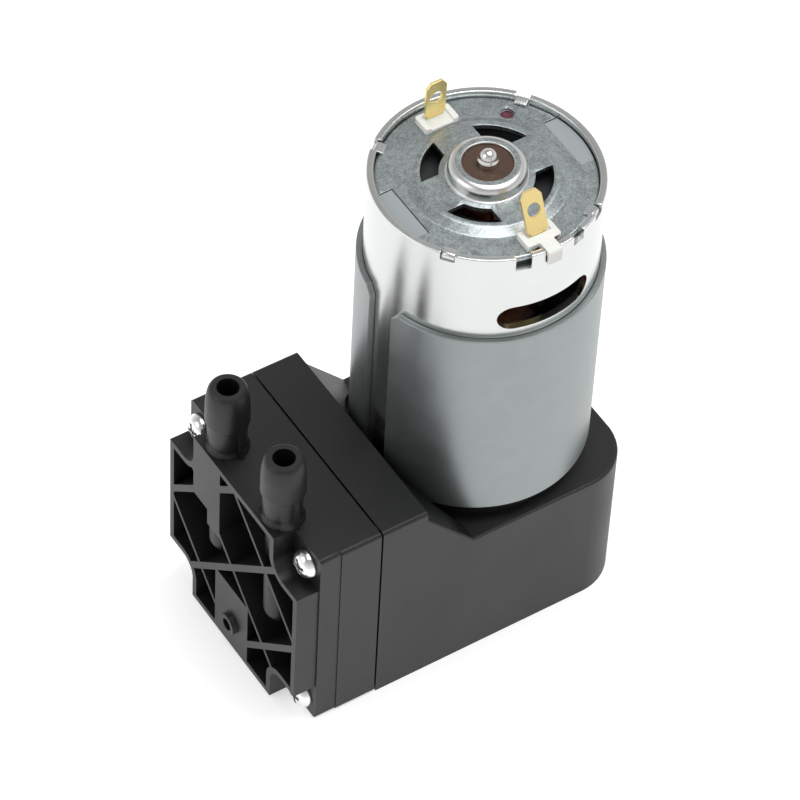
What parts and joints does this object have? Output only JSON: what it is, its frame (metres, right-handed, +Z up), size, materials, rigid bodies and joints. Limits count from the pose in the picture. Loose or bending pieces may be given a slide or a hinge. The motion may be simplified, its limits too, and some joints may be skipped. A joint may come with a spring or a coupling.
{
  "type": "suction pump",
  "caption": "Diaphragm suction pump: an upright can motor on a moulded crankcase drives a diaphragm head with a diagonally ribbed cover and hose barbs on top.",
  "frame": {"origin": "on the motor axis, in the flat base plane of the crankcase", "axes": "+Z up along the motor shaft, -X towards the pumping head, +Y towards the inlet barb's side"},
  "size_m": [0.0637, 0.0384, 0.0924],
  "materials": {
    "black_plastic": "satin",
    "can_steel": "bright nickel",
    "ring_steel": "satin zinc",
    "galvanised_steel": "mottled zinc",
    "plate_steel": "satin",
    "screw_steel": "bright zinc",
    "bearing_steel": "ground",
    "core_steel": "stacked laminations",
    "sintered_bronze": "porous, oiled",
    "brass": "satin",
    "copper": "enamelled",
    "nylon_white": "translucent, satin",
    "rod_plastic": "glass filled, satin",
    "carrier_grey": "satin",
    "rubber": "matte",
    "aluminium": "turned",
    "ferrite": "matte ceramic",
    "carbon": "matte"
  },
  "bodies": {
    "housing": {"pump_body": "black_plastic", "bottom_cover": "black_plastic", "bottom_cover_screws": "screw_steel", "head_cover": "black_plastic", "valve_body": "black_plastic", "head_screws": "screw_steel", "inlet_valve": "rubber", "outlet_valve": "rubber", "port_seals": "rubber", "diaphragm": "rubber", "motor_can": "can_steel", "flux_ring": "ring_steel", "motor_end_plate": "galvanised_steel", "motor_screws": "screw_steel", "front_bearing": "sintered_bronze", "rear_bearing": "sintered_bronze", "magnets": "ferrite", "magnet_clips": "plate_steel", "brush_carrier": "carrier_grey", "brushes": "carbon", "brush_springs": "brass", "terminal_insulator_far": "nylon_white", "terminal_insulator_near": "nylon_white", "terminal_far": "brass", "terminal_near": "brass"},
    "rotor": {"motor_shaft": "bearing_steel", "rotor_core": "core_steel", "windings": "copper", "commutator": "copper", "shaft_washers": "nylon_white", "eccentric": "aluminium", "eccentric_set_screw": "screw_steel", "counterweight": "plate_steel", "rod_bearing_inner_ring": "bearing_steel"},
    "rod": {"connecting_rod": "rod_plastic", "rod_bearing_outer_ring": "bearing_steel", "rod_bearing_balls": "bearing_steel", "piston_plate": "plate_steel", "diaphragm_screw": "screw_steel"}
  },
  "joints": [
    {"name": "rotor_spin", "type": "hinge", "parent": "housing", "child": "rotor", "pos_m": [0, 0, 0.01932], "axis": [0, 0, 1], "continuous": true, "deforming": ["diaphragm"]},
    {"name": "rod_turn", "type": "hinge", "parent": "rotor", "child": "rod", "pos_m": [0.0016, 0, 0.01932], "axis": [0, 0, 1], "continuous": true, "deforming": ["diaphragm"]}
  ],
  "couplings": [
    {"joint": "rod_turn", "follows": "rotor_spin", "ratio": -1}
  ]
}
